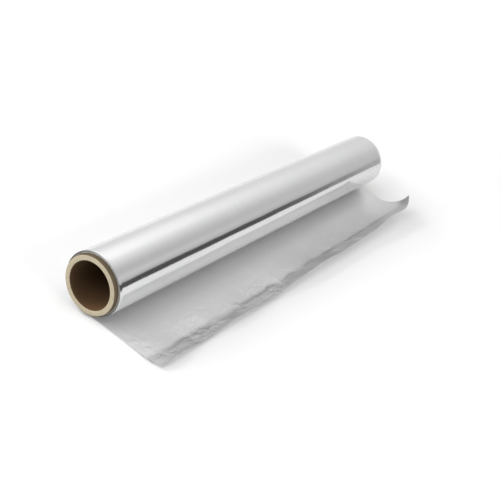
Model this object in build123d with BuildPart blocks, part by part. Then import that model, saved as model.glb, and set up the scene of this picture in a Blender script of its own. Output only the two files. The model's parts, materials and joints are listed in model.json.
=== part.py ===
from build123d import *
import math
import os

# Household aluminium foil roll lying on a table, with the end of the web pulled out.
# X runs along the roll, +Z is up, the loose end of the web lies towards -Y.
# The origin is on the axis of the tube, half way along it. Sizes are in mm.

# driving dimensions
foil_width = 300.0            # width of the web, and so of the wound roll
foil_build_up = 1.55          # wound turns of foil, from the first turn to the outside
core_outer_diameter = 34.0    # outside of the cardboard tube
core_wall = 3.2               # wall of the cardboard tube
core_overhang = 2.8           # how far the tube stands out of the foil at each end
core_chamfer = 0.35           # softened rim of the cut tube
winding_clearance = 0.05      # hair gap between the tube and the first turn
sheet_gauge = 0.3             # stand-in thickness of the loose web, see the record
sheet_flat_run = 25.0         # from the line under the roll to where the web starts to lift

# the lifted part of the loose web: (place along the width, reach, rise of the free edge)
# place is 0 at the end at -X and 1 at the end at +X, reach is measured past the flat run
lift_stations = [
    (0.0, 25.2, 1.8),
    (0.035, 28.4, 2.6),
    (0.16, 29.0, 1.4),
    (0.3, 28.8, 2.8),
    (0.45, 28.5, 4.2),
    (0.58, 28.1, 6.0),
    (0.75, 27.8, 7.0),
    (0.88, 27.0, 9.0),
    (0.96, 26.6, 10.4),
    (1.0, 23.3, 14.6),
]

# derived sizes
core_radius = core_outer_diameter / 2
wound_bore_radius = core_radius + winding_clearance
roll_radius = wound_bore_radius + foil_build_up
bore_radius = core_radius - core_wall
core_length = foil_width + 2 * core_overhang
half_width = foil_width / 2
table_z = -roll_radius
sheet_top_z = table_z + sheet_gauge
meet_y = -math.sqrt(roll_radius**2 - sheet_top_z**2)

os.makedirs("parts", exist_ok=True)

# cardboard tube
with BuildPart() as core:
    with BuildSketch(Plane.YZ.offset(-core_length / 2)):
        Circle(core_radius)
        Circle(bore_radius, mode=Mode.SUBTRACT)
    extrude(amount=core_length)
    chamfer(core.edges().filter_by(GeomType.CIRCLE), core_chamfer)
core.part.label = "core"

# wound turns, with the first stretch of the loose web lying flat on the table
with BuildPart() as foil:
    with BuildSketch(Plane.YZ.offset(-half_width)) as turns:
        with BuildLine():
            Line((0, table_z), (-sheet_flat_run, table_z))
            Line((-sheet_flat_run, table_z), (-sheet_flat_run, sheet_top_z))
            Line((-sheet_flat_run, sheet_top_z), (meet_y, sheet_top_z))
            ThreePointArc((meet_y, sheet_top_z), (0, roll_radius), (0, table_z))
        make_face()
        Circle(wound_bore_radius, mode=Mode.SUBTRACT)
    extrude(amount=foil_width)

    # the rest of the web bends up as an arc whose rise grows towards +X
    for place, reach, rise in lift_stations:
        turn = 2 * math.atan2(rise, reach)
        bend = reach / math.sin(turn)
        low = bend + sheet_gauge / 2
        high = bend - sheet_gauge / 2
        centre_z = sheet_top_z - sheet_gauge / 2 + bend
        ends = []
        for radius in (low, high):
            for angle in (0, turn / 2, turn):
                point_y = -sheet_flat_run - radius * math.sin(angle)
                point_z = centre_z - radius * math.cos(angle)
                ends.append((point_y, point_z))
        with BuildSketch(Plane.YZ.offset(-half_width + place * foil_width)):
            with BuildLine():
                ThreePointArc(ends[0], ends[1], ends[2])
                Line(ends[2], ends[5])
                ThreePointArc(ends[5], ends[4], ends[3])
                Line(ends[3], ends[0])
            make_face()
    loft(ruled=True)
foil.part.label = "foil"

export_step(core.part, "parts/core.step")
export_step(foil.part, "parts/foil.step")
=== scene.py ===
import json
import math
import random

import bmesh
import bpy
import numpy as np
from mathutils import Matrix, Vector, noise


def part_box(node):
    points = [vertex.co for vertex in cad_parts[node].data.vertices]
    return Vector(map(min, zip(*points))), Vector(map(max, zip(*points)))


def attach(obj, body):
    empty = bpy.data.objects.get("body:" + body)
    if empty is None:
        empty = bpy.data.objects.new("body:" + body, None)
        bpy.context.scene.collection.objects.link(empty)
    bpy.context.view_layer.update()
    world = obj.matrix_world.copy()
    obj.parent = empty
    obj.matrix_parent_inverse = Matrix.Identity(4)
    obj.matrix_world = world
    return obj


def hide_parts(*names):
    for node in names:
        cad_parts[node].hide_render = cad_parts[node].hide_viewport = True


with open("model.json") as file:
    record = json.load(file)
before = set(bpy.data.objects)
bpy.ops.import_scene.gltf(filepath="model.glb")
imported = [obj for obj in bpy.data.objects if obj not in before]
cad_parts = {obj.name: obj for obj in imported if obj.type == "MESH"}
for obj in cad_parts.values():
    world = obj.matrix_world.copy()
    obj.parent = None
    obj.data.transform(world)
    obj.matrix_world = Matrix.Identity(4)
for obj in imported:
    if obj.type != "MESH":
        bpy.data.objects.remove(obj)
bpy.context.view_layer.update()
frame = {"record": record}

# A household foil roll lying on a table, its loose end pulled out towards -Y.
# X runs along the roll and the bore's axis is the origin.
# Lengths are in mm unless a note says metres.

mm = 0.001
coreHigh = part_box("core")[1]
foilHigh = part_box("foil")[1]

rollRadius = foilHigh[2] / mm
halfWidth = foilHigh[0] / mm
halfCore = coreHigh[0] / mm
coreRadius = coreHigh[2] / mm
boreRadius = frame["record"]["mounts"][0]["dims"]["r_mm"]
tableZ = -rollRadius
fullTurn = 2 * math.pi
print("frame read: roll radius", round(rollRadius, 2), "half width", round(halfWidth, 2))

scene = bpy.context.scene
scene.view_settings.view_transform = "Standard"


# ---- shapes

def smooth(low, high, value):
    # eased from 0 at low to 1 at high; low may be the larger of the two
    t = np.clip((np.asarray(value, dtype=float) - low) / (high - low), 0, 1)
    return t * t * (3 - 2 * t)


def softNoise(xs, ys, zs, sizes, seed):
    # coherent noise from -1 to 1 over three arrays of the same shape
    flat = zip(np.ravel(xs) / sizes[0], np.ravel(ys) / sizes[1], np.ravel(zs) / sizes[2])
    values = [noise.noise(Vector((x + seed, y - seed, z))) for x, y, z in flat]
    return np.array(values).reshape(np.shape(xs))


def lineNoise(xs, size, seed):
    # the same noise, changing along x alone
    return softNoise(xs, xs * 0, xs * 0, (size, 1, 1), seed)


def meshObject(name, points, faces, faceSlots, materials, uvs=None):
    mesh = bpy.data.meshes.new(name)
    mesh.from_pydata([tuple(p) for p in points], [], faces)
    for material in materials:
        mesh.materials.append(material)
    mesh.polygons.foreach_set("material_index", faceSlots)
    mesh.polygons.foreach_set("use_smooth", [True] * len(faces))
    if uvs is not None:
        layer = mesh.uv_layers.new(name="web")
        corners = np.empty(len(mesh.loops), dtype=np.int32)
        mesh.loops.foreach_get("vertex_index", corners)
        layer.data.foreach_set("uv", np.asarray(uvs)[corners].ravel())
    mesh.update()
    piece = bpy.data.objects.new(name, mesh)
    scene.collection.objects.link(piece)
    return piece


def pointValues(piece, name, values):
    layer = piece.data.attributes.new(name, "FLOAT", "POINT")
    layer.data.foreach_set("value", values)


def shellFaces(rows, across, wraps, rimSlot):
    # both sides of a thin shell, slots 0 and 1, and then its rims
    count = rows * across
    faces, slots = [], []
    for r in range(rows if wraps else rows - 1):
        n = (r + 1) % rows
        for c in range(across - 1):
            a, b = r * across + c, r * across + c + 1
            e, f = n * across + c, n * across + c + 1
            faces += [(a, e, f, b), (count + a, count + b, count + f, count + e)]
            slots += [0, 1]
    if wraps:
        rims = [(r * across + c, (r + 1) % rows * across + c)
                for r in range(rows) for c in (0, across - 1)]
    else:
        loop = list(range(across)) + [r * across + across - 1 for r in range(1, rows)]
        loop += [(rows - 1) * across + c for c in range(across - 2, -1, -1)]
        loop += [r * across for r in range(rows - 2, 0, -1)]
        rims = list(zip(loop, loop[1:] + loop[:1]))
    faces += [(a, b, count + b, count + a) for a, b in rims]
    slots += [rimSlot] * len(rims)
    return faces, slots


def fixNormals(piece):
    shell = bmesh.new()
    shell.from_mesh(piece.data)
    bmesh.ops.recalc_face_normals(shell, faces=shell.faces)
    shell.to_mesh(piece.data)
    shell.free()


# ---- nodes

def addNode(tree, kind, place=(0, 0), **settings):
    node = tree.nodes.new(kind)
    node.location = place
    for key, value in settings.items():
        setattr(node, key, value)
    return node


def mathNode(tree, operation, *given):
    node = addNode(tree, "ShaderNodeMath", operation=operation)
    for socket, value in zip(node.inputs, given):
        if isinstance(value, (int, float)):
            socket.default_value = value
        else:
            tree.links.new(value, socket)
    return node.outputs[0]


def bareMaterial(name):
    material = bpy.data.materials.new(name)
    material.use_nodes = True
    tree = material.node_tree
    tree.nodes.clear()
    out = addNode(tree, "ShaderNodeOutputMaterial", (700, 0))
    return material, tree, out.inputs["Surface"]


def freshMaterial(name):
    material, tree, surface = bareMaterial(name)
    shader = addNode(tree, "ShaderNodeBsdfPrincipled", (400, 0))
    tree.links.new(shader.outputs["BSDF"], surface)
    return material, tree, shader


def mappedNoise(tree, source, scales, size, detail, rough):
    # a noise texture read through a Mapping node, so it can be stretched
    mapping = addNode(tree, "ShaderNodeMapping", (-700, 0))
    mapping.inputs["Scale"].default_value = scales
    tree.links.new(source, mapping.inputs["Vector"])
    texture = addNode(tree, "ShaderNodeTexNoise", (-500, 0))
    texture.inputs["Scale"].default_value = size
    texture.inputs["Detail"].default_value = detail
    texture.inputs["Roughness"].default_value = rough
    tree.links.new(mapping.outputs["Vector"], texture.inputs["Vector"])
    return texture.outputs["Fac"]


def tonedRamp(tree, factor, colour, lowTone, places):
    # from a darker tone of the colour to the colour itself
    ramp = addNode(tree, "ShaderNodeValToRGB", (-200, 100))
    tones = ([c * lowTone for c in colour], colour)
    for element, at, tone in zip(ramp.color_ramp.elements, places, tones):
        element.position = at
        element.color = (*tone, 1)
    tree.links.new(factor, ramp.inputs["Fac"])
    return ramp.outputs["Color"]


def easedRange(tree, source, low, high):
    node = addNode(tree, "ShaderNodeMapRange", (-300, 0), interpolation_type="SMOOTHSTEP")
    tree.links.new(source, node.inputs["Value"])
    node.inputs["From Min"].default_value = low
    node.inputs["From Max"].default_value = high
    return node.outputs["Result"]


def addBump(tree, shader, layers):
    # layers of (height socket, distance in metres, strength), chained into the normal
    last = None
    for height, distance, strength in layers:
        bump = addNode(tree, "ShaderNodeBump", (200, -300))
        bump.inputs["Distance"].default_value = distance
        bump.inputs["Strength"].default_value = strength
        tree.links.new(height, bump.inputs["Height"])
        if last is not None:
            tree.links.new(last, bump.inputs["Normal"])
        last = bump.outputs["Normal"]
    tree.links.new(last, shader.inputs["Normal"])


# ---- camera

cameraValues = {
    "place": (-508.7, -233.3, 307.0),
    "yaw": 23.72,               # degrees, from +X towards +Y
    "dip": 30.85,               # degrees below level
    "lean": 21.86,              # degrees about the line of sight
    "lens": 71.86,
    "sensor": 36,
    "clip": (0.01, 60),         # metres
}


def makeCamera(values):
    yaw, dip, lean = (math.radians(values[k]) for k in ("yaw", "dip", "lean"))
    reach = math.cos(dip)
    forward = Vector((math.cos(yaw) * reach, math.sin(yaw) * reach, -math.sin(dip)))
    level = Vector((math.sin(yaw), -math.cos(yaw), 0))
    above = level.cross(forward)
    right = level * math.cos(lean) + above * math.sin(lean)
    up = above * math.cos(lean) - level * math.sin(lean)
    data = bpy.data.cameras.new("camera")
    data.sensor_width = values["sensor"]
    data.lens = values["lens"]
    data.clip_start, data.clip_end = values["clip"]
    camera = bpy.data.objects.new("camera", data)
    facing = Matrix((right, up, -forward)).transposed()
    camera.matrix_world = Matrix.Translation(Vector(values["place"]) * mm) @ facing.to_4x4()
    scene.collection.objects.link(camera)
    scene.camera = camera


makeCamera(cameraValues)
print("camera placed")


# ---- foil finishes

# the noises are stretched by (along the web, across it, 1) per metre;
# each bump is (distance in metres, strength)
brightFinish = {
    "colour": (0.68, 0.68, 0.685),
    "metal": 0.93,
    # metal in the painted reflection band, lower so that the band reads brighter
    "paintedReflectionMetal": 0.45,
    "roughness": 0.09,
    "stretch": 0.35,
    "marks": (4, 900, 1),
    "clouds": (22, 14, 1),
    "grain": (300, 1200, 1),
    "markShare": 0.5,
    "lowTone": 0.94,
    "toneRange": (0.32, 0.68),
    "cloudBump": (0.0004, 0.5),
    "markBump": (0.000012, 0.5),
    "grainBump": (0.000004, 0.4),
}
satinFinish = {
    "colour": (0.66, 0.66, 0.66),
    "paintedShadeDepth": 0.48,          # how far the painted shade darkens the colour at full strength
    "metal": 0.46,
    "roughness": 0.36,
    "marks": (6, 700, 1),
    "clouds": (30, 24, 1),
    "grain": (1600, 1600, 1),
    "markShare": 0.4,
    "lowTone": 0.93,
    "toneRange": (0.3, 0.7),
    "cloudBump": (0.0003, 0.5),
    "markBump": (0.00002, 0.4),
    "grainBump": (0.000012, 0.4),
}
edgeFinish = {
    "colour": (0.70, 0.69, 0.65),
    "metal": 0.3,
    "roughness": 0.5,
    "specks": 2500,
    "lowTone": 0.5,
    "toneRange": (0.35, 0.7),
    "speckBump": (0.0001, 0.6),
}


def foilSurface(tree, shader, values):
    # rolling marks along the web, soft clouds and a fine grain
    uv = addNode(tree, "ShaderNodeUVMap", (-1000, 0), uv_map="web").outputs["UV"]
    marks = mappedNoise(tree, uv, values["marks"], 1.0, 4, 0.6)
    clouds = mappedNoise(tree, uv, values["clouds"], 1.0, 3, 0.5)
    grain = mappedNoise(tree, uv, values["grain"], 1.0, 2, 0.5)
    markPart = mathNode(tree, "MULTIPLY", marks, values["markShare"])
    cloudPart = mathNode(tree, "MULTIPLY", clouds, 1 - values["markShare"])
    tint = mathNode(tree, "ADD", markPart, cloudPart)
    addBump(tree, shader, [(clouds, *values["cloudBump"]), (marks, *values["markBump"]),
                           (grain, *values["grainBump"])])
    return tonedRamp(tree, tint, values["colour"], values["lowTone"], values["toneRange"])


def brightFoil(values):
    material, tree, shader = freshMaterial("brightFoil")
    colour = foilSurface(tree, shader, values)
    tree.links.new(colour, shader.inputs["Base Color"])
    # painted reflection: the low front band scatters more and mirrors less, so it reads brighter
    # there
    scuff = addNode(tree, "ShaderNodeAttribute", (-600, 400), attribute_name="scuff")
    metal = addNode(tree, "ShaderNodeMapRange", (-300, 400))
    tree.links.new(scuff.outputs["Fac"], metal.inputs["Value"])
    metal.inputs["To Min"].default_value = values["metal"]
    metal.inputs["To Max"].default_value = values["paintedReflectionMetal"]
    tree.links.new(metal.outputs["Result"], shader.inputs["Metallic"])
    shader.inputs["Roughness"].default_value = values["roughness"]
    shader.inputs["Anisotropic"].default_value = values["stretch"]
    tangent = addNode(tree, "ShaderNodeTangent", (-200, -200),
                      direction_type="UV_MAP", uv_map="web")
    tree.links.new(tangent.outputs["Tangent"], shader.inputs["Tangent"])
    return material


def satinFoil(values):
    material, tree, shader = freshMaterial("satinFoil")
    shader.inputs["Metallic"].default_value = values["metal"]
    shader.inputs["Roughness"].default_value = values["roughness"]
    colour = foilSurface(tree, shader, values)
    # painted shade: darker through the crumpled hem, along the crest and towards the free edge,
    # less so on the crumple ridges
    wear = addNode(tree, "ShaderNodeAttribute", (-400, 300), attribute_name="wear").outputs["Fac"]
    loss = mathNode(tree, "MULTIPLY", wear, values["paintedShadeDepth"])
    shaded = addNode(tree, "ShaderNodeVectorMath", (100, 200), operation="SCALE")
    tree.links.new(colour, shaded.inputs[0])
    tree.links.new(mathNode(tree, "SUBTRACT", 1.0, loss), shaded.inputs["Scale"])
    tree.links.new(shaded.outputs[0], shader.inputs["Base Color"])
    return material


def edgeFoil(values):
    # the stacked edges of the turns, dull and speckled
    material, tree, shader = freshMaterial("foilEdges")
    place = addNode(tree, "ShaderNodeTexCoord", (-1000, 0)).outputs["Object"]
    shader.inputs["Metallic"].default_value = values["metal"]
    shader.inputs["Roughness"].default_value = values["roughness"]
    specks = mappedNoise(tree, place, (1, 1, 1), values["specks"], 3, 0.6)
    colour = tonedRamp(tree, specks, values["colour"], values["lowTone"], values["toneRange"])
    tree.links.new(colour, shader.inputs["Base Color"])
    addBump(tree, shader, [(specks, *values["speckBump"])])
    return material


brightMaterial = brightFoil(brightFinish)
satinMaterial = satinFoil(satinFinish)
edgeMaterial = edgeFoil(edgeFinish)


# ---- the loose end of the web, one thin closed shell

looseWebValues = {
    "gauge": 0.06,
    "behind": 3.0,              # how far it reaches back under the roll
    "flatRun": 25.0,            # how far it lies flat before it lifts
    "pulled": 54.0,             # from under the roll to the free edge
    "columns": 560,
    "rows": (4, 20, 52),        # behind, beside the roll, towards the free edge
    "fineFrom": 0.62,           # where along the web the close rows start
    "cutWander": 0.35,
    "cutRagged": 0.18,
    "cornerClip": 1.0,
    "waveHeight": 0.30,
    "hem": 6.4,                 # width of the crinkled strip at the free edge
    "hemWander": 0.22,
    "hemSpan": (0, 22, 270, 300),   # where along the roll it fades in and out
    "hemTurn": 0.16,
    "hemCrest": 0.32,
    "crumple": 0.27,
    "flatCrumple": 0.14,        # share of the crumple away from the crumpled spots
    "creases": 110,
    "creaseHeights": (0.06, 0.30),
    "creaseSeed": 11,
    "pucker": 0.5,
    # painted shade in the hem, towards the free edge and along the crest, and a painted highlight
    # on the crumple ridges
    "hemPaintedShade": 0.62,
    "edgePaintedShade": 0.32,
    "crestPaintedShade": 0.45,
    "ridgePaintedHighlight": 0.9,
}

# rise of the free edge along the roll: (x from the -X end, rise)
riseStations = [
    (0, 1.8), (6, 3.0), (14, 3.2), (27, 2.0), (45, 0.9), (62, 2.0), (88, 3.4), (106, 3.0),
    (122, 2.4), (138, 4.2), (164, 6.6), (185, 5.6), (205, 6.8), (220, 6.6), (238, 7.0),
    (262, 9.0), (284, 9.8), (292, 10.4), (296.5, 12.2), (300, 17.0),
]
# where the crumpling is strongest: (x from the -X end, half width, share)
crumpleSpots = [
    (10, 9, 0.55), (42, 20, 1.0), (74, 9, 0.5), (108, 19, 1.0),
    (150, 14, 0.6), (176, 10, 0.5), (216, 20, 0.95), (252, 12, 0.5),
]
# the creases gather round these places, from the -X end
creaseClusters = [12, 30, 44, 58, 78, 96, 108, 132, 150, 172, 196, 214, 226, 248, 270, 290]


def webRise(fromLeft):
    # the stations joined up and smoothed, each end carried on straight
    rise = np.interp(fromLeft, *zip(*riseStations))
    kernel = np.hanning(11)[1:-1]
    kernel /= kernel.sum()
    for _ in range(2):
        before = 2 * rise[0] - rise[4:0:-1]
        after = 2 * rise[-1] - rise[-2:-6:-1]
        rise = np.convolve(np.concatenate([before, rise, after]), kernel, "valid")
    return rise


def webLength(x, values):
    # how long each column is, with an uneven cut and a clipped near corner
    length = values["pulled"] + values["cutWander"] * lineNoise(x, 21, 3.1)
    length += values["cutRagged"] * lineNoise(x, 3.3, 8.4)
    return length - values["cornerClip"] * (1 - smooth(0, 6, x + halfWidth)) ** 1.4


def webRows(length, values):
    # distance along the web from the line where it leaves the roll, and that line's row
    behind, beside, towardsEdge = values["rows"]
    fineFrom = values["fineFrom"]
    share = np.concatenate([
        np.linspace(-values["behind"] / values["pulled"], 0, behind)[:-1],
        np.linspace(0, fineFrom, beside)[:-1],
        np.linspace(fineFrom, 1.0, towardsEdge),
    ])
    start = behind - 1
    d = share[:, None] * length[None, :]
    d[:start] = share[:start, None] * values["pulled"]
    return d, start


def walkOut(d, slope, start, values):
    # the web's middle surface, laid row by row along the slope
    step = np.diff(d, axis=0)
    y = np.zeros_like(d)
    z = np.zeros_like(d)
    mid = (slope[1:] + slope[:-1]) / 2
    y[1:] = -np.cumsum(step * np.cos(mid), 0)
    z[1:] = np.cumsum(step * np.sin(mid), 0)
    y -= y[start]
    z -= z[start]
    z += tableZ + values["gauge"] / 2
    # the rows behind the contact line climb the back of the roll
    shell = rollRadius - values["gauge"] / 2
    climb = np.clip(-d, 0, None) / shell
    y = np.where(d < 0, shell * np.sin(climb), y)
    z = np.where(d < 0, -shell * np.cos(climb), z)
    return y, z, np.where(d < 0, -climb, slope)


def addCreases(push, left, toEdge, values):
    # short sharp ridges and valleys, mostly along the free edge
    dice = random.Random(values["creaseSeed"])
    for index in range(values["creases"]):
        centreX = dice.choice(creaseClusters) + dice.gauss(0, 7)
        centreD = abs(dice.gauss(0, 1)) * 4.6 + 2.0
        if index % 6 == 0:
            centreD += dice.uniform(5, 12)
        angle = dice.gauss(0, 0.42)
        if dice.random() < 0.22:
            angle += dice.choice((-1, 1)) * dice.uniform(0.6, 1.1)
        half = dice.uniform(3, 11)
        width = dice.uniform(0.45, 1.5)
        height = dice.choice((-1, 1, 1)) * dice.uniform(*values["creaseHeights"])
        if centreD > 10:
            height *= 0.45
        dx = left - centreX
        dd = toEdge - centreD
        run = dx * math.cos(angle) + dd * math.sin(angle)
        off = -dx * math.sin(angle) + dd * math.cos(angle)
        fade = smooth(half, half * 0.35, np.abs(run))
        push = push + height * fade * np.exp(-np.abs(off) / width)
    return push


def webRelief(xx, d, toEdge, hemStart, hemSpan, values):
    # how far each point stands off the laid surface, and how much painted shade it carries
    left = xx + halfWidth
    flat = xx * 0

    # broad waves, always upwards, stronger towards the free edge
    calm = smooth(2, 22, d) * (0.35 + 0.65 * smooth(20, 50, d))
    waves = 0.5 + 0.5 * softNoise(xx, d, flat, (34, 26, 1), 2.2)
    waves += 0.3 * softNoise(xx, d, flat, (13, 15, 1), 6.1)
    push = values["waveHeight"] * calm * np.clip(waves, 0, None)
    push = addCreases(push, left, toEdge, values)
    push *= smooth(3, 16, d)

    # the broken crest that bounds the hem
    fromCrest = toEdge - hemStart
    crest = np.exp(-((fromCrest / np.where(fromCrest > 0, 2.1, 0.9)) ** 2))
    broken = smooth(-0.22, 0.18, lineNoise(xx, 17, 12.6))
    depth = (0.6 + 0.5 * lineNoise(xx, 18, 3.3)) * (0.12 + 0.88 * broken)
    push += values["hemCrest"] * depth * hemSpan * crest

    # the crumpled strip beyond it
    crumpled = np.full_like(left, values["flatCrumple"])
    for place, half, amount in crumpleSpots:
        near = smooth(half, half * 0.4, np.abs(left - place))
        crumpled = np.maximum(crumpled, amount * near)
    ridged = 1 - 2 * np.abs(softNoise(xx, toEdge, flat, (4.2, 2.0, 1), 4.4))
    ridged += 0.6 * (1 - 2 * np.abs(softNoise(xx, toEdge, flat, (2.2, 1.3, 1), 6.6)))
    ridged -= 1.1
    strip = smooth(hemStart + 2.5, hemStart - 1.0, toEdge) + 0.22 * smooth(16, 8, toEdge)
    strip = np.clip(strip, 0, 1) * smooth(-0.4, 1.2, toEdge)
    push += values["crumple"] * ridged * crumpled * strip

    # small puckers by the -X side of the web
    pucker = np.exp(-(((left - 6) / 4.5) ** 2) - (((d - 31) / 7.0) ** 2))
    push += values["pucker"] * pucker * softNoise(xx, d, flat, (2.6, 3.4, 1), 8.8)

    # painted shade: dark through the hem and the crumpled spots, towards the free edge and along
    # the broken crest; the crumple ridges stay lighter as a painted highlight
    inHem = smooth(hemStart + 5.0, hemStart - 0.5, toEdge)
    wear = values["hemPaintedShade"] * inHem * (0.75 + 0.25 * crumpled)
    wear += values["edgePaintedShade"] * smooth(34, 8, toEdge)
    wear += values["crestPaintedShade"] * hemSpan * broken * np.exp(-(((fromCrest - 1.0) / 1.2) ** 2))
    wear -= values["ridgePaintedHighlight"] * np.clip(ridged, 0, 1) * crumpled
    return push, np.clip(wear, 0, 1)


def looseWeb(values):
    x = np.linspace(-halfWidth, halfWidth, values["columns"] + 1)
    length = webLength(x, values)
    d, start = webRows(length, values)
    xx = np.repeat(x[None, :], len(d), 0)
    toEdge = length[None, :] - d

    # the lift: a constant bend past the flat run, up to the rise at each station
    rise = webRise(x + halfWidth)
    bendRun = length - values["flatRun"]
    chord = np.sqrt(np.maximum(bendRun**2 - rise**2, 1))
    lift = 2 * np.arctan2(rise, chord)
    slope = lift[None, :] * np.clip((d - values["flatRun"]) / bendRun[None, :], 0, 1)

    # the crinkled hem turns up or down by an amount that wanders
    hemStart = values["hem"] * (1 + values["hemWander"] * lineNoise(xx, 14, 1.9))
    fadeIn, fullFrom, fullTo, fadeOut = values["hemSpan"]
    left = xx + halfWidth
    hemSpan = smooth(fadeIn, fullFrom, left) * smooth(fadeOut, fullTo, left)
    inHem = smooth(hemStart + 0.5, hemStart - 0.5, toEdge) * hemSpan
    slope = slope + inHem * values["hemTurn"] * (0.35 + 1.8 * lineNoise(xx, 26, 5.7))

    y, z, slope = walkOut(d, slope, start, values)
    push, wear = webRelief(xx, d, toEdge, hemStart, hemSpan, values)
    y = y - push * np.sin(slope)
    z = z + push * np.cos(slope)
    z = np.where(d > 0, np.maximum(z, tableZ + values["gauge"] / 2), z)

    # offset both ways for the gauge, using the surface's own normals
    centre = np.stack([xx, y, z], -1)
    normal = np.cross(np.gradient(centre, axis=0), np.gradient(centre, axis=1))
    normal /= np.linalg.norm(normal, axis=-1, keepdims=True)
    if normal[start + 5, 5, 2] < 0:
        normal = -normal
    sides = [(centre + way * normal * values["gauge"] / 2).reshape(-1, 3) for way in (1, -1)]
    uv = np.stack([d, left], -1).reshape(-1, 2) * mm
    faces, slots = shellFaces(*d.shape, wraps=False, rimSlot=1)
    piece = meshObject("looseWeb", np.concatenate(sides) * mm, faces, slots,
                       [satinMaterial, brightMaterial], np.concatenate([uv, uv]))
    # the painted shade goes to both sides of the shell
    pointValues(piece, "wear", np.tile(wear.ravel(), 2))
    fixNormals(piece)
    return piece


web = looseWeb(looseWebValues)
print("loose web made:", len(web.data.polygons), "faces")


# ---- the outermost turn, a thin shell with small dents

outerTurnValues = {
    "gauge": 0.06,
    "around": 220,
    "along": 150,
    "dent": 0.10,
    "rimDent": 0.16,
    "rimReach": 3.0,
    "rimShift": 0.18,
    # painted reflection: where the low front is made less mirror-like so that it reads brighter
    "paintedReflectionBand": (15, 40, 104, 118),    # degrees up from the bottom, on the -Y side
    "paintedReflectionFade": 0.45,                  # how much of it is lost towards the +X end
    "paintedReflectionFadeRun": (170, 280),
}


def outerTurn(values):
    x = np.linspace(-halfWidth, halfWidth, values["along"] + 1)
    angle = np.linspace(0, fullTurn, values["around"] + 1)[:-1]
    aa, xx = np.meshgrid(angle, x, indexing="ij")
    cy, cz = np.sin(aa), -np.cos(aa)
    dents = softNoise(xx, cy, cz, (38, 0.55, 0.55), 4.0)
    dents += 0.5 * softNoise(xx, cy, cz, (12, 0.3, 0.3), 9.0)
    nearRim = np.exp(-(halfWidth - np.abs(xx)) / values["rimReach"])
    chips = 0.5 + 0.5 * softNoise(np.sign(xx), cy, cz, (0.7, 0.35, 0.35), 7.0)
    inward = values["dent"] * np.clip(0.5 + 0.5 * dents, 0, 1.5)
    inward += values["rimDent"] * nearRim * chips
    # true to its radius where it rests on the table
    inward *= smooth(0.0, 0.35, np.minimum(aa, fullTurn - aa))
    uneven = softNoise(cy, cz, xx * 0, (0.25, 0.25, 1), 2.0)
    shift = xx + np.sign(xx) * nearRim**4 * values["rimShift"] * uneven
    outer = rollRadius - inward
    sides = [np.stack([shift, radius * cy, radius * cz], -1).reshape(-1, 3)
             for radius in (outer, outer - values["gauge"])]
    uv = np.stack([aa * rollRadius, xx + halfWidth], -1).reshape(-1, 2) * mm
    faces, slots = shellFaces(*aa.shape, wraps=True, rimSlot=0)
    piece = meshObject("outerTurn", np.concatenate(sides) * mm, faces, slots,
                       [brightMaterial, satinMaterial], np.concatenate([uv, uv]))
    # painted reflection: a band on the low front, towards -Y, mirrors less so it reads brighter,
    # fading towards the +X end
    upFront = np.degrees(fullTurn - aa)
    fadeIn, fullFrom, fullTo, fadeOut = values["paintedReflectionBand"]
    paintedReflectionShare = smooth(fadeOut, fullTo, upFront) * smooth(fadeIn, fullFrom, upFront)
    paintedReflectionShare *= 1 - values["paintedReflectionFade"] * smooth(*values["paintedReflectionFadeRun"], xx + halfWidth)
    pointValues(piece, "scuff", np.tile(paintedReflectionShare.ravel(), 2))
    fixNormals(piece)
    return piece


turn = outerTurn(outerTurnValues)
print("outer turn made")


# ---- the turns under it: a spiral wound by Geometry Nodes

innerTurnsValues = {
    "Inner Radius": coreRadius + 0.06,
    "Outer Radius": rollRadius - 0.30,
    "Turns": 13.0,
    "Foil Width": 2 * halfWidth - 0.4,
    "Layer Gauge": 0.07,
    "End Scatter": 0.45,
    "End Taper": 0.7,
    "Steps per Turn": 96,
    "Seed": 4,
}
scatterScale = 5400             # noise steps per metre of radius
scatterMiddle = 0.72            # the noise level at which an edge stands flush


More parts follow.
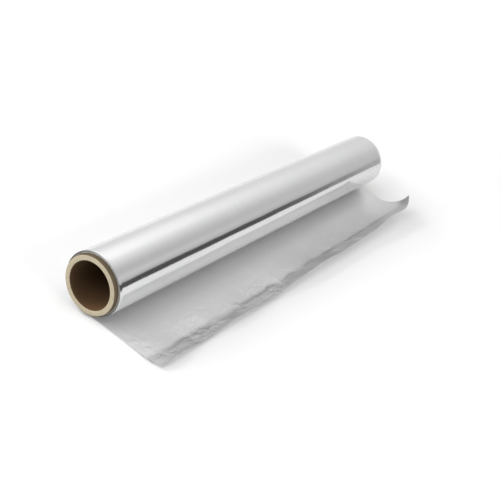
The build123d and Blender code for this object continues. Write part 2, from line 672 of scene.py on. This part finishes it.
def windingTree():
    tree = bpy.data.node_groups.new("windFoil", "GeometryNodeTree")
    face = tree.interface
    for name in innerTurnsValues:
        kind = "Int" if name in ("Steps per Turn", "Seed") else "Float"
        face.new_socket(name, in_out="INPUT", socket_type="NodeSocket" + kind)
    face.new_socket("Finish", in_out="INPUT", socket_type="NodeSocketMaterial")
    face.new_socket("Geometry", in_out="OUTPUT", socket_type="NodeSocketGeometry")
    link = tree.links.new
    given = addNode(tree, "NodeGroupInput", (-900, 0)).outputs
    spiral = addNode(tree, "GeometryNodeCurveSpiral", (-650, 150))
    spiral.inputs["Height"].default_value = 0
    link(given["Steps per Turn"], spiral.inputs["Resolution"])
    link(given["Turns"], spiral.inputs["Rotations"])
    link(given["Inner Radius"], spiral.inputs["Start Radius"])
    link(given["Outer Radius"], spiral.inputs["End Radius"])
    strip = addNode(tree, "GeometryNodeCurvePrimitiveQuadrilateral", (-650, -100))
    link(given["Layer Gauge"], strip.inputs["Width"])
    link(given["Foil Width"], strip.inputs["Height"])
    sweep = addNode(tree, "GeometryNodeCurveToMesh", (-400, 50))
    sweep.inputs["Fill Caps"].default_value = True
    link(spiral.outputs["Curve"], sweep.inputs["Curve"])
    link(strip.outputs["Curve"], sweep.inputs["Profile Curve"])
    lay = addNode(tree, "GeometryNodeTransform", (-200, 50))
    lay.inputs["Rotation"].default_value = (0, math.pi / 2, 0)
    link(sweep.outputs["Mesh"], lay.inputs["Geometry"])
    # each turn's edge stands in or out a little, by noise of its radius
    where = addNode(tree, "GeometryNodeInputPosition", (-900, -350)).outputs["Position"]
    apart = addNode(tree, "ShaderNodeSeparateXYZ", (-700, -350))
    link(where, apart.inputs[0])
    flat = addNode(tree, "ShaderNodeCombineXYZ", (-500, -450))
    link(apart.outputs["Y"], flat.inputs["Y"])
    link(apart.outputs["Z"], flat.inputs["Z"])
    reach = addNode(tree, "ShaderNodeVectorMath", (-350, -450), operation="LENGTH")
    link(flat.outputs[0], reach.inputs[0])
    steps = mathNode(tree, "MULTIPLY", reach.outputs["Value"], scatterScale)
    rough = addNode(tree, "ShaderNodeTexNoise", (100, -450), noise_dimensions="1D")
    rough.inputs["Scale"].default_value = 1
    rough.inputs["Detail"].default_value = 2
    link(mathNode(tree, "ADD", steps, given["Seed"]), rough.inputs["W"])
    centred = mathNode(tree, "SUBTRACT", rough.outputs["Fac"], scatterMiddle)
    scattered = mathNode(tree, "MULTIPLY", centred, given["End Scatter"])
    # and the outer turns stand back a little from the inner ones
    depth = addNode(tree, "ShaderNodeMapRange", (250, -650))
    link(reach.outputs["Value"], depth.inputs["Value"])
    link(given["Inner Radius"], depth.inputs["From Min"])
    link(given["Outer Radius"], depth.inputs["From Max"])
    taper = mathNode(tree, "MULTIPLY", depth.outputs["Result"], given["End Taper"])
    standing = mathNode(tree, "SUBTRACT", scattered, taper)
    side = mathNode(tree, "SIGN", apart.outputs["X"])
    offset = addNode(tree, "ShaderNodeCombineXYZ", (700, -400))
    link(mathNode(tree, "MULTIPLY", standing, side), offset.inputs["X"])
    place = addNode(tree, "GeometryNodeSetPosition", (0, 50))
    link(lay.outputs["Geometry"], place.inputs["Geometry"])
    link(offset.outputs[0], place.inputs["Offset"])
    shade = addNode(tree, "GeometryNodeSetShadeSmooth", (200, 50))
    shade.inputs["Shade Smooth"].default_value = False
    link(place.outputs["Geometry"], shade.inputs["Geometry"])
    real = addNode(tree, "GeometryNodeRealizeInstances", (400, 50))
    link(shade.outputs["Geometry"], real.inputs["Geometry"])
    finish = addNode(tree, "GeometryNodeSetMaterial", (600, 50))
    link(real.outputs["Geometry"], finish.inputs["Geometry"])
    link(given["Finish"], finish.inputs["Material"])
    out = addNode(tree, "NodeGroupOutput", (800, 50))
    link(finish.outputs["Geometry"], out.inputs["Geometry"])
    return tree


def plainMesh(name, tree, values, finish):
    # runs the tree on an empty mesh and keeps what it makes as a plain mesh
    carrier = bpy.data.objects.new(name + "Carrier", bpy.data.meshes.new(name + "Carrier"))
    scene.collection.objects.link(carrier)
    modifier = carrier.modifiers.new("wind", "NODES")
    modifier.node_group = tree
    lengths = ("Radius", "Width", "Gauge", "Scatter", "Taper")
    for item in tree.interface.items_tree:
        if item.in_out != "INPUT":
            continue
        if item.name == "Finish":
            modifier[item.identifier] = finish
        else:
            value = values[item.name]
            modifier[item.identifier] = value * mm if item.name.endswith(lengths) else value
    graph = bpy.context.evaluated_depsgraph_get()
    graph.update()
    mesh = bpy.data.meshes.new_from_object(carrier.evaluated_get(graph))
    mesh.name = name
    carrier.modifiers.remove(modifier)
    bpy.data.objects.remove(carrier)
    piece = bpy.data.objects.new(name, mesh)
    scene.collection.objects.link(piece)
    return piece


turns = plainMesh("innerTurns", windingTree(), innerTurnsValues, edgeMaterial)
fixNormals(turns)
print("inner turns wound:", len(turns.data.polygons), "faces")


# ---- the cardboard core

coreValues = {
    "around": 144,
    "rim": 0.55,                # radius of its rounded corners
    "rings": (0, 1.2, 3, 12, 40, 90),   # in from each end, along the bore and outside
    "endRings": 12,
    "fibre": 0.10,              # how uneven the cut faces are
    "plies": 5,
    "plyLine": 0.07,
    "seamPitch": 46.0,
    "seamLine": 0.008,
    "markStrength": 0.55,
    "markColour": (0.10, 0.07, 0.04),
    "cutColour": (0.53, 0.46, 0.33),
    # partly its own darker ply, partly painted shade on the outside where the core stands past
    # the foil
    "outerColour": (0.12, 0.10, 0.07),
    # partly the kraft's own brown, partly painted shade deep in the bore
    "innerColour": (0.16, 0.075, 0.030),
    "roughness": 0.88,
    "specular": 0.25,
}


def mixedColour(tree, factor, first, second):
    node = addNode(tree, "ShaderNodeMix", data_type="RGBA")
    tree.links.new(factor, node.inputs["Factor"])
    for socket, value in ((node.inputs[6], first), (node.inputs[7], second)):
        if isinstance(value, tuple):
            socket.default_value = (*value, 1)
        else:
            tree.links.new(value, socket)
    return node.outputs[2]


def cardboard(values):
    material, tree, shader = freshMaterial("kraftBoard")
    shader.inputs["Roughness"].default_value = values["roughness"]
    shader.inputs["Specular IOR Level"].default_value = values["specular"]
    coords = addNode(tree, "ShaderNodeTexCoord", (-1400, 0)).outputs["Object"]
    apart = addNode(tree, "ShaderNodeSeparateXYZ", (-1200, 0))
    tree.links.new(coords, apart.inputs[0])
    x, y, z = (apart.outputs[k] for k in "XYZ")

    def calc(operation, *given):
        return mathNode(tree, operation, *given)

    radius = calc("SQRT", calc("ADD", calc("MULTIPLY", y, y), calc("MULTIPLY", z, z)))
    # 0 at the bore, 1 outside
    wall = (coreRadius - boreRadius) * mm
    depth = calc("DIVIDE", calc("SUBTRACT", radius, boreRadius * mm), wall)
    isInner = calc("LESS_THAN", depth, 0.04)
    isOuter = calc("GREATER_THAN", depth, 0.93)
    # plies show as thin darker rings on the cut end
    ring = calc("PINGPONG", calc("MULTIPLY", depth, values["plies"]), 0.5)
    line = calc("LESS_THAN", ring, values["plyLine"])
    # the spiral seam of the wound plies
    turnShare = calc("DIVIDE", calc("ARCTAN2", y, z), fullTurn)
    along = calc("DIVIDE", x, values["seamPitch"] * mm)
    helix = calc("FRACT", calc("ADD", turnShare, along))
    seam = calc("LESS_THAN", calc("PINGPONG", helix, 0.5), values["seamLine"])
    onSkin = calc("MULTIPLY", seam, calc("MAXIMUM", isInner, isOuter))

    fibres = mappedNoise(tree, coords, (1, 1, 1), 900, 5, 0.65)
    flecks = mappedNoise(tree, coords, (0.35, 1, 1), 3200, 2, 0.5)
    cut = tonedRamp(tree, fibres, values["cutColour"], 0.82, (0.25, 0.75))
    outer = tonedRamp(tree, fibres, values["outerColour"], 0.85, (0.3, 0.75))
    inner = tonedRamp(tree, fibres, values["innerColour"], 0.8, (0.3, 0.75))
    colour = mixedColour(tree, isInner, cut, inner)
    colour = mixedColour(tree, isOuter, colour, outer)
    grooves = calc("MAXIMUM", line, onSkin)
    marked = calc("MULTIPLY", grooves, values["markStrength"])
    colour = mixedColour(tree, marked, colour, values["markColour"])
    tree.links.new(colour, shader.inputs["Base Color"])
    height = calc("SUBTRACT", fibres, calc("MULTIPLY", grooves, 0.6))
    addBump(tree, shader, [(height, 0.00015, 0.5), (flecks, 0.00006, 0.4)])
    return material


def coreProfile(values):
    # once round the wall as (x, radius): bore, +X end, outside, -X end
    rim = values["rim"]
    corner = [(rim * math.sin(t), rim * math.cos(t)) for t in np.linspace(0, math.pi / 2, 5)]
    edge, low, high = halfCore - rim, boreRadius + rim, coreRadius - rim
    stops = [edge - s for s in values["rings"]]
    endRings = np.linspace(low, high, values["endRings"])[1:-1]
    profile = [(-s, boreRadius) for s in stops] + [(s, boreRadius) for s in reversed(stops)]
    profile += [(edge + rise, low - run) for rise, run in corner[1:]]
    profile += [(halfCore, r) for r in endRings]
    profile += [(edge + run, high + rise) for rise, run in corner]
    profile += [(s, coreRadius) for s in stops[1:]] + [(-s, coreRadius) for s in reversed(stops)]
    profile += [(-(edge + rise), high + run) for rise, run in corner[1:]]
    profile += [(-halfCore, r) for r in reversed(endRings)]
    profile += [(-(edge + run), low - rise) for rise, run in corner[:-1]]
    return profile


def coreTube(values):
    # the wall's outline turned round the axis
    profile = coreProfile(values)
    around, count = values["around"], len(profile)
    points, faces = [], []
    for k in range(around):
        a = fullTurn * k / around
        for px, pr in profile:
            # fibres stand a little uneven on the cut faces
            if abs(px) > halfCore - 0.05:
                grain = noise.noise(Vector((pr * 1.6, math.sin(a) * 4, math.cos(a) * 4)))
                px -= math.copysign(values["fibre"] * (0.5 + 0.5 * grain), px)
            points.append((px * mm, pr * math.sin(a) * mm, -pr * math.cos(a) * mm))
    for k in range(around):
        n = (k + 1) % around
        for i in range(count):
            j = (i + 1) % count
            faces.append((k * count + i, k * count + j, n * count + j, n * count + i))
    piece = meshObject("coreTube", points, faces, [0] * len(faces), [cardboard(values)])
    fixNormals(piece)
    return piece


tube = coreTube(coreValues)
print("core made:", len(tube.data.polygons), "faces")


# ---- floor, reflections and lights, all in metres

studioValues = {
    "floorColour": 0.72,
    "floorGlow": 0.06,
    "floorReach": (0.20, 0.34),     # between these the floor fades to plain white
    "floorHalf": 12.0,
    "ambient": 0.27,
    # place, aim, size and power of each lamp
    "lamps": {
        "key": ((-0.25, -0.28, 1.35), (0, -0.02, 0), (1.3, 1.3), 5.0),
        "back": ((-0.40, 1.08, 0.62), (0, 0, 0), (1.4, 0.45), 18.0),
        "far": ((1.15, 0.10, 0.75), (0.15, 0, 0), (0.5, 0.4), 2.5),
        "side": ((-1.10, 0.35, 0.85), (-0.15, 0, 0), (0.7, 0.5), 7.0),
        "front": ((0.15, -1.10, 0.55), (0, 0, 0), (1.0, 0.5), 10.5),
    },
}


def seenDirectly(tree):
    # 1 for camera, glossy and transmission rays, 0 for the rest
    path = addNode(tree, "ShaderNodeLightPath", (-600, 300)).outputs
    seen = mathNode(tree, "MAXIMUM", path["Is Camera Ray"], path["Is Glossy Ray"])
    return mathNode(tree, "MAXIMUM", seen, path["Is Transmission Ray"])


def makeFloor(values):
    material, tree, surface = bareMaterial("floor")
    link = tree.links.new
    matt = addNode(tree, "ShaderNodeBsdfDiffuse", (0, 0))
    matt.inputs["Color"].default_value = (values["floorColour"],) * 3 + (1,)
    seen = seenDirectly(tree)
    glow = addNode(tree, "ShaderNodeEmission", (0, -200))
    link(mathNode(tree, "MULTIPLY", seen, values["floorGlow"]), glow.inputs["Strength"])
    both = addNode(tree, "ShaderNodeAddShader", (300, 0))
    link(matt.outputs[0], both.inputs[0])
    link(glow.outputs[0], both.inputs[1])
    plain = addNode(tree, "ShaderNodeEmission", (0, -400))
    coords = addNode(tree, "ShaderNodeTexCoord", (-900, -300)).outputs["Object"]
    reach = addNode(tree, "ShaderNodeVectorMath", (-700, -300), operation="LENGTH")
    link(coords, reach.inputs[0])
    away = easedRange(tree, reach.outputs["Value"], *values["floorReach"])
    mixed = addNode(tree, "ShaderNodeMixShader", (450, 0))
    link(mathNode(tree, "MULTIPLY", away, seen), mixed.inputs["Fac"])
    link(both.outputs[0], mixed.inputs[1])
    link(plain.outputs[0], mixed.inputs[2])
    link(mixed.outputs[0], surface)
    # a hair under the roll
    half, z = values["floorHalf"], (tableZ - 0.05) * mm
    corners = [(-half, -half, z), (half, -half, z), (half, half, z), (-half, half, z)]
    return meshObject("floor", corners, [(0, 1, 2, 3)], [0], [material])


def areaLight(name, place, aim, size, power):
    # no lamp is mirrored in the foil; the tent below takes care of that
    data = bpy.data.lights.new(name, "AREA")
    data.shape = "RECTANGLE"
    data.size, data.size_y = size
    data.energy = power
    lamp = bpy.data.objects.new(name, data)
    facing = (Vector(aim) - Vector(place)).to_track_quat("-Z", "Y").to_matrix().to_4x4()
    lamp.visible_glossy = False
    lamp.matrix_world = Matrix.Translation(place) @ facing
    scene.collection.objects.link(lamp)


def makeWorld(values):
    world = bpy.data.worlds.new("studio")
    scene.world = world
    world.use_nodes = True
    tree = world.node_tree
    tree.nodes.clear()
    out = addNode(tree, "ShaderNodeOutputWorld", (400, 0))
    back = addNode(tree, "ShaderNodeBackground", (100, 0))
    back.inputs["Color"].default_value = (1, 1, 1, 1)
    strength = addNode(tree, "ShaderNodeMix", (-100, 0), data_type="FLOAT")
    strength.inputs[2].default_value = values["ambient"]
    strength.inputs[3].default_value = 1.0
    tree.links.new(seenDirectly(tree), strength.inputs[0])
    tree.links.new(strength.outputs[0], back.inputs["Strength"])
    tree.links.new(back.outputs[0], out.inputs["Surface"])


tentValues = {
    "radius": 1.5,
    "halfLength": 4.6,
    "columns": 93,
    # glow by angle, counted from the -Y horizon over the top to the +Y horizon
    "farGlow": [
        (0, 0.02), (15.0, 0.02), (19.5, 0.56), (28, 0.64), (35, 0.67), (45, 0.69), (55, 0.72),
        (65, 0.76), (75, 0.81), (90, 0.90), (105, 0.92), (120, 0.95), (135, 0.93), (150, 0.90),
        (165, 0.90), (180, 0.92),
    ],
    # what is added to it round the middle of the tent, and how that fades along X
    "nearGlow": [
        (0, 0), (22, 0.02), (28, 0.09), (36, 0.11), (45, -0.02), (55, -0.09), (65, -0.04),
        (75, 0.04), (85, 0.11), (95, 0.24), (106, 0.46), (117, 0.50), (129, 0.47), (142, 0.34),
        (157, 0.15), (175, 0.02), (180, 0),
    ],
    "nearFade": [(0, 1), (1.3, 1), (1.7, 0.62), (2.1, 0.26), (2.7, 0.0), (9, 0)],
    # the least glow towards the tent's ends, and how it comes in along X
    "endGlow": 0.52,
    "endFade": [(0, 0), (1.9, 0), (2.15, 0.10), (2.35, 0.35), (2.6, 0.8), (2.8, 1), (9, 1)],
}
flagValues = {
    "glow": 0.02,
    "fadeIn": (0.42, 0.56),         # distances in front of the roll
    "fadeAlong": (2.6, 0.9),        # clear and full, either way along X
    "reach": (3, 1.5),
    "lift": 0.0005,
}


def onlyMirrored(piece):
    piece.visible_camera = False
    piece.visible_diffuse = False
    piece.visible_shadow = False


def makeTent(values):
    # a half round tent along X that only reflections see
    material, tree, surface = bareMaterial("tent")
    glow = addNode(tree, "ShaderNodeEmission", (300, 0))
    level = addNode(tree, "ShaderNodeAttribute", (0, 0), attribute_name="glow")
    tree.links.new(level.outputs["Fac"], glow.inputs["Strength"])
    tree.links.new(glow.outputs[0], surface)
    # closer steps low down in front
    angles = np.unique(np.concatenate([np.arange(0, 181, 3), np.arange(0, 30, 0.5)]))
    xs = np.linspace(-values["halfLength"], values["halfLength"], values["columns"])
    ee, xx = np.meshgrid(angles, xs, indexing="ij")
    rad = np.radians(ee)
    reach = values["radius"]
    points = np.stack([xx, -reach * np.cos(rad), tableZ * mm + reach * np.sin(rad)], -1)

    def table(name, at):
        return np.interp(at, *zip(*values[name]))

    levels = table("farGlow", ee)
    lifted = np.maximum(levels, values["endGlow"])
    levels = levels + (lifted - levels) * table("endFade", np.abs(xx))
    levels = levels + table("nearGlow", ee) * table("nearFade", np.abs(xx))
    rows, across = ee.shape
    faces = [(a, a + 1, a + across + 1, a + across)
             for r in range(rows - 1) for a in range(r * across, (r + 1) * across - 1)]
    piece = meshObject("tent", points.reshape(-1, 3), faces, [0] * len(faces), [material])
    pointValues(piece, "glow", levels.ravel())
    onlyMirrored(piece)
    return piece


def makeFloorFlag(values):
    # a dark sheet lying on the floor in front, out of view, that only reflections see
    material, tree, surface = bareMaterial("floorFlag")
    dark = addNode(tree, "ShaderNodeEmission", (0, 0))
    dark.inputs["Strength"].default_value = values["glow"]
    clear = addNode(tree, "ShaderNodeBsdfTransparent", (0, -200))
    coords = addNode(tree, "ShaderNodeTexCoord", (-900, 0)).outputs["Object"]
    apart = addNode(tree, "ShaderNodeSeparateXYZ", (-700, 0))
    tree.links.new(coords, apart.inputs[0])
    infront = mathNode(tree, "MULTIPLY", apart.outputs["Y"], -1.0)
    along = mathNode(tree, "ABSOLUTE", apart.outputs["X"])
    shares = (easedRange(tree, infront, *values["fadeIn"]),
              easedRange(tree, along, *values["fadeAlong"]))
    blend = addNode(tree, "ShaderNodeMixShader", (300, 0))
    tree.links.new(mathNode(tree, "MULTIPLY", *shares), blend.inputs["Fac"])
    tree.links.new(clear.outputs[0], blend.inputs[1])
    tree.links.new(dark.outputs[0], blend.inputs[2])
    tree.links.new(blend.outputs[0], surface)
    wide, far = values["reach"]
    near = values["fadeIn"][0]
    z = tableZ * mm + values["lift"]
    corners = [(-wide, -far, z), (wide, -far, z), (wide, -near, z), (-wide, -near, z)]
    piece = meshObject("floorFlag", corners, [(0, 1, 2, 3)], [0], [material])
    onlyMirrored(piece)
    return piece


floor = makeFloor(studioValues)
tent = makeTent(tentValues)
for name, lampValues in studioValues["lamps"].items():
    areaLight(name, *lampValues)
flag = makeFloorFlag(flagValues)
makeWorld(studioValues)
print("studio lit")


# ---- what rides where

for piece in (web, turn, turns):
    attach(piece, "root")
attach(tube, "root")
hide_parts("foil")
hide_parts("core")
